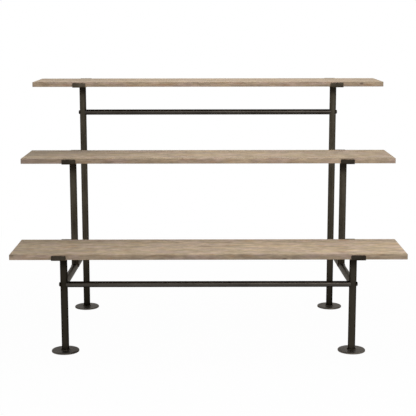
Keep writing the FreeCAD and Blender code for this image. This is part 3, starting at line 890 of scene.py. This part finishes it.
def board(node, seams, staves, edge_light_and_shade, seed):
    """One glued-up board. seams are distances back from its front edge; staves give each one's
    pith (distance back from its front, depth under the top), slant, place in the log, and tones at
    the left end, middle and right end, partly the wood's own and partly painted light. edge_light_and_shade
    is how its planed long edges differ from them: painted light and shade on those faces."""
    low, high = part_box(node)
    r = arris_round
    cuts = [low.y] + [low.y + s for s in seams] + [high.y]
    flat = []
    for front, back in zip(cuts, cuts[1:]):
        parts = max(2, round((back - front) / row_pitch))
        flat += [front + (back - front) * i / parts for i in range(parts)]
    flat = [y for y in flat if low.y + r < y < high.y - r]
    # the section, counter-clockwise seen from the right: place back, height, how much it is on an
    # arris, and the way inwards
    middle_z = (low.z + high.z) / 2
    section = [(y, low.z, 0.0, up_way) for y in flat]
    for first, centre_y, centre_z, side_after in (
            (-90, high.y - r, low.z + r, [(high.y, middle_z, 0.2, -back_way)]),
            (0, high.y - r, high.z - r, [(y, high.z, 0.0, -up_way) for y in reversed(flat)]),
            (90, low.y + r, high.z - r, [(low.y, middle_z, 0.2, back_way)]),
            (180, low.y + r, low.z + r, [])):
        for step in range(5):
            a = math.radians(first + 22.5 * step)
            on_arris = abs(math.sin(2 * a)) if 0 < step < 4 else 0.0
            section.append((centre_y + r * math.cos(a), centre_z + r * math.sin(a), on_arris,
                            Vector((0, -math.cos(a), -math.sin(a)))))
        section += side_after
    # the stations along it: place along, and how far the section is drawn in there
    end_steps = [(r * (1 - math.cos(a)), r * (1 - math.sin(a)))
                 for a in (math.radians(22.5 * step) for step in range(5))]
    count = round((high.x - low.x - 2 * r) / station_pitch)
    stations = [(low.x + along, inset) for along, inset in end_steps]
    stations += [(low.x + r + (high.x - low.x - 2 * r) * i / count, 0.0) for i in range(1, count)]
    stations += [(high.x - along, inset) for along, inset in reversed(end_steps)]
    work = bmesh.new()
    arris_darkening_layer = work.verts.layers.float.new("arris")
    rings = []
    for x, inset in stations:
        ring = []
        for y, z, on_arris, inward in section:
            # arrises are worn unevenly and dented here and there, and flats are planed a little hollow
            wear = 0.0
            if on_arris:
                wobble = noise.noise(Vector((x * 22, y * 9, z * 9 + seed)))
                dent = max(0.0, noise.noise(Vector((x * 7 + 40, y * 5, z * 60 + seed))) - 0.25)
                wear = on_arris * (0.0002 + 0.0002 * wobble + 0.0020 * dent)
            if inset > 0 or not on_arris:
                wear += 0.00012 * (1 + noise.noise(Vector((x * 5, y * 12, z * 12 + seed))))
            vertex = work.verts.new(Vector((x, y, z)) + inward * (inset + wear))
            vertex[arris_darkening_layer] = max(on_arris, 0.8 if 0 < inset < r else 0.0)
            ring.append(vertex)
        rings.append(ring)
    skinned(work, rings)
    work.faces.new(list(reversed(rings[0])))
    work.faces.new(rings[-1])
    shaded(work, 0.7)
    mesh = mesh_of("glued_" + node, work, wood)
    piths, stave_places, tones, planed = [], [], [], []
    for polygon in mesh.polygons:
        y = min(max(polygon.center.y, low.y + 1e-6), high.y - 1e-6)
        k = max(i for i in range(len(staves)) if y >= cuts[i])
        pith_back, pith_deep, slant, log_x, tones_along = staves[k]
        piths += [slant, cuts[k] + pith_back, high.z - pith_deep]
        # the board's own long edges are no seams, so they are put a metre off
        front_seam = cuts[k] if k else low.y - 1.0
        back_seam = cuts[k + 1] if k < len(staves) - 1 else high.y + 1.0
        stave_places += [front_seam, back_seam, log_x]
        share = (polygon.center.x - low.x) / (high.x - low.x)
        on_edge = abs(polygon.normal.y) > 0.8
        planed.append(float(on_edge))
        tones.append(between(tones_along, share) * (between(edge_light_and_shade, share) if on_edge else 1.0))
    mark(mesh, "pith", piths, "FACE", "FLOAT_VECTOR")
    mark(mesh, "stave", stave_places, "FACE", "FLOAT_VECTOR")
    mark(mesh, "wood_tone_and_painted_light", tones, "FACE")
    mark(mesh, "planed_edge", planed, "FACE")
    fixed_to_frame(standing("glued_" + node, mesh), "weathered_wood", node)


# painted light: the front board's staves grow lighter towards its right end, on the side the light comes
# from
board("front_shelf", (0.145, 0.252),
      # each board's last three tones are painted light and shade on its front and back faces
      ((0.060, 0.075, 0.018, 2.3, (0.80, 0.98, 1.08)), (0.040, 0.11, -0.012, 5.1, (0.79, 1.00, 1.10)),
       (0.075, 0.06, 0.022, 8.2, (0.705, 0.98, 1.06))), (1.25, 0.84, 0.78), 1.0)
board("middle_shelf", (0.098, 0.195),
      ((0.055, 0.09, -0.02, 11.7, (0.755, 0.94, 0.775)), (0.03, 0.07, 0.014, 14.9, (0.565, 0.94, 0.755)),
       (0.09, 0.085, -0.016, 17.3, (0.45, 0.89, 0.755))), (1.03, 1.14, 1.38), 2.0)
board("top_shelf", (0.121, 0.238),
      ((0.07, 0.065, 0.02, 21.4, (0.89, 0.92, 0.80)), (0.05, 0.10, -0.02, 24.6, (0.81, 0.86, 0.76)),
       (0.06, 0.08, 0.012, 27.8, (0.79, 0.845, 0.74))), (1.15, 1.20, 1.18), 3.0)

# ---------------------------------------------------------------- board screws
# Four zinc-plated hexagon-head wood screws hold each board, up through the saddles' bars. They are
# driven by hand, so no two heads are turned alike.

# Steel plated with bright zinc: cool light grey, clouded by 4 mm patches where it has dulled.
screw_finish, tree = bare_material("zinc_plated_steel_screw")
place = add(tree, "ShaderNodeTexCoord").outputs["Object"]
patches = add(tree, "ShaderNodeTexNoise", {"Vector": place, "Scale": 1 / 0.004, "Detail": 2.0})
grey = add(tree, "ShaderNodeMix", {0: patches, 6: linear("#7f7d76"), 7: linear("#aba89f")},
           data_type="RGBA")
dull = add(tree, "ShaderNodeMapRange",
           {"Value": patches, "From Min": 0.3, "From Max": 0.7, "To Min": 0.35, "To Max": 0.5})
shader = add(tree, "ShaderNodeBsdfPrincipled", {"Base Color": grey, "Metallic": 1.0, "Roughness": dull})
add(tree, "ShaderNodeOutputMaterial", {"Surface": shader})

half_flats = 0.005
screw_head = 0.004
screw_radius = 0.003
screw_shank = 0.021
screw_step = 0.220
thread_root = 0.78
thread_rings = 16
# from the head's chamfered underside up to the point; the shank is roped by its thread
head_low = -bar_thick - screw_head
outline = [(half_flats - 0.0012, head_low, 0.0), (half_flats - 0.0004, head_low, 0.0),
           (half_flats, head_low + 0.0007, 0.0, "six-sided"),
           (half_flats, -bar_thick - 0.0003, 0.0, "six-sided"),
           (half_flats - 0.0003, -bar_thick, 0.0, "six-sided"), (screw_radius, -bar_thick, 0.0)]
for step in range(1, thread_rings + 1):
    outline.append((screw_radius * (thread_root if step % 2 else 1.0),
                    -bar_thick + screw_shank * step / (thread_rings + 1), 0.0))
one_screw = mesh_of("one_screw", turned(outline, 36, 0.45))
for (row, board_node), seed in zip(board_on.items(), (73, 76, 24)):
    axis = upright_axis["right", row]
    piece = grown("four_" + board_node + "_screws", fixing_tree, {
        "Spacing": 2 * axis.x, "Step": screw_step, "Rows": 2, "Row Place": axis.y,
        "Height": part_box(board_node)[0].z, "Seed": seed, "Finish": screw_finish}, one_screw)
    fixed_to_frame(piece, "zinc_plated_screw", board_node + "_screws")

# ---------------------------------------------------------------- floor
# A matt white studio floor that runs out of view. It shows white and keeps the unit's soft shadow.
# It lies a fifth of a millimetre under the feet.

floor_half = 30.0
floor_z = -0.0002
work = bmesh.new()
work.faces.new([work.verts.new((x * floor_half, y * floor_half, floor_z))
                for x, y in ((-1, -1), (1, -1), (1, 1), (-1, 1))])
# Matt white paint on a smooth floor: no gloss. The camera and reflections see plain white.
floor_paint, tree = bare_material("matt_white_floor_paint")
matt = add(tree, "ShaderNodeBsdfDiffuse", {"Color": linear("#e2e2e0")})
white = add(tree, "ShaderNodeEmission", {"Color": (1, 1, 1, 1), "Strength": 1.0})
# near the unit a little of the real floor shows through, fading out to plain white 3 m away
place = add(tree, "ShaderNodeTexCoord").outputs["Object"]
away = add(tree, "ShaderNodeVectorMath", {0: place}, operation="LENGTH")
plain = add(tree, "ShaderNodeMapRange", {"Value": away, "From Min": 1.0, "From Max": 3.0, "To Min": 0.98,
                                         "To Max": 1.0}, interpolation_type="SMOOTHSTEP")


def seen_as_white(tree):
    """1 for rays from the camera, from gloss or through glass, and 0 for the rays that light things."""
    ray = add(tree, "ShaderNodeLightPath").outputs
    seen = add(tree, "ShaderNodeMath", {0: ray["Is Camera Ray"], 1: ray["Is Glossy Ray"]},
               operation="MAXIMUM")
    return add(tree, "ShaderNodeMath", {0: seen, 1: ray["Is Transmission Ray"]}, operation="MAXIMUM")


seen = add(tree, "ShaderNodeMath", {0: seen_as_white(tree), 1: plain}, operation="MULTIPLY")
mixed = add(tree, "ShaderNodeMixShader", {0: seen, 1: matt, 2: white})
add(tree, "ShaderNodeOutputMaterial", {"Surface": mixed})
standing("studio_floor", mesh_of("studio_floor", work, floor_paint))

# ---------------------------------------------------------------- light
# One broad softbox over the unit, a fainter one in front, and an even white room.

world = bpy.data.worlds.new("white_room")
bpy.context.scene.world = world
world.use_nodes = True
tree = world.node_tree
tree.nodes.clear()
lighting = add(tree, "ShaderNodeBackground", {"Color": (1, 1, 1, 1), "Strength": 0.28})
backdrop = add(tree, "ShaderNodeBackground", {"Color": (1, 1, 1, 1), "Strength": 1.0})
mixed = add(tree, "ShaderNodeMixShader", {0: seen_as_white(tree), 1: lighting, 2: backdrop})
add(tree, "ShaderNodeOutputWorld", {"Surface": mixed})


def softbox(name, place, target, width, height, power):
    lamp = bpy.data.lights.new(name, "AREA")
    lamp.shape = "RECTANGLE"
    lamp.size = width
    lamp.size_y = height
    lamp.energy = power
    holder = standing(name, lamp)
    holder.location = place
    holder.rotation_euler = (Vector(target) - Vector(place)).to_track_quat("-Z", "Y").to_euler()


softbox("softbox_over", (0.6, 0.2, 3.8), (0.3, 0.0, 0.6), 3.0, 2.4, 66.0)
softbox("softbox_front", (1.6, -4.0, 3.1), (0.0, 0.0, 0.6), 3.4, 2.0, 76.0)

# ---------------------------------------------------------------- camera
# A long lens a little above the top board, looking slightly down at the middle of the unit.

pitch = math.radians(9.73)
roll = math.radians(0.07)
yaw = math.radians(0.10)
lens = bpy.data.cameras.new("long_lens")
lens.sensor_width = 36.0
lens.lens = 95.49
camera = standing("long_lens", lens)
camera.matrix_world = (Matrix.Translation((-0.01055, -5.5392, 1.5771)) @ Matrix.Rotation(-yaw, 4, "Z")
                       @ Matrix.Rotation(math.pi / 2 - pitch, 4, "X") @ Matrix.Rotation(-roll, 4, "Z"))
bpy.context.scene.camera = camera
bpy.context.scene.view_settings.view_transform = "Standard"
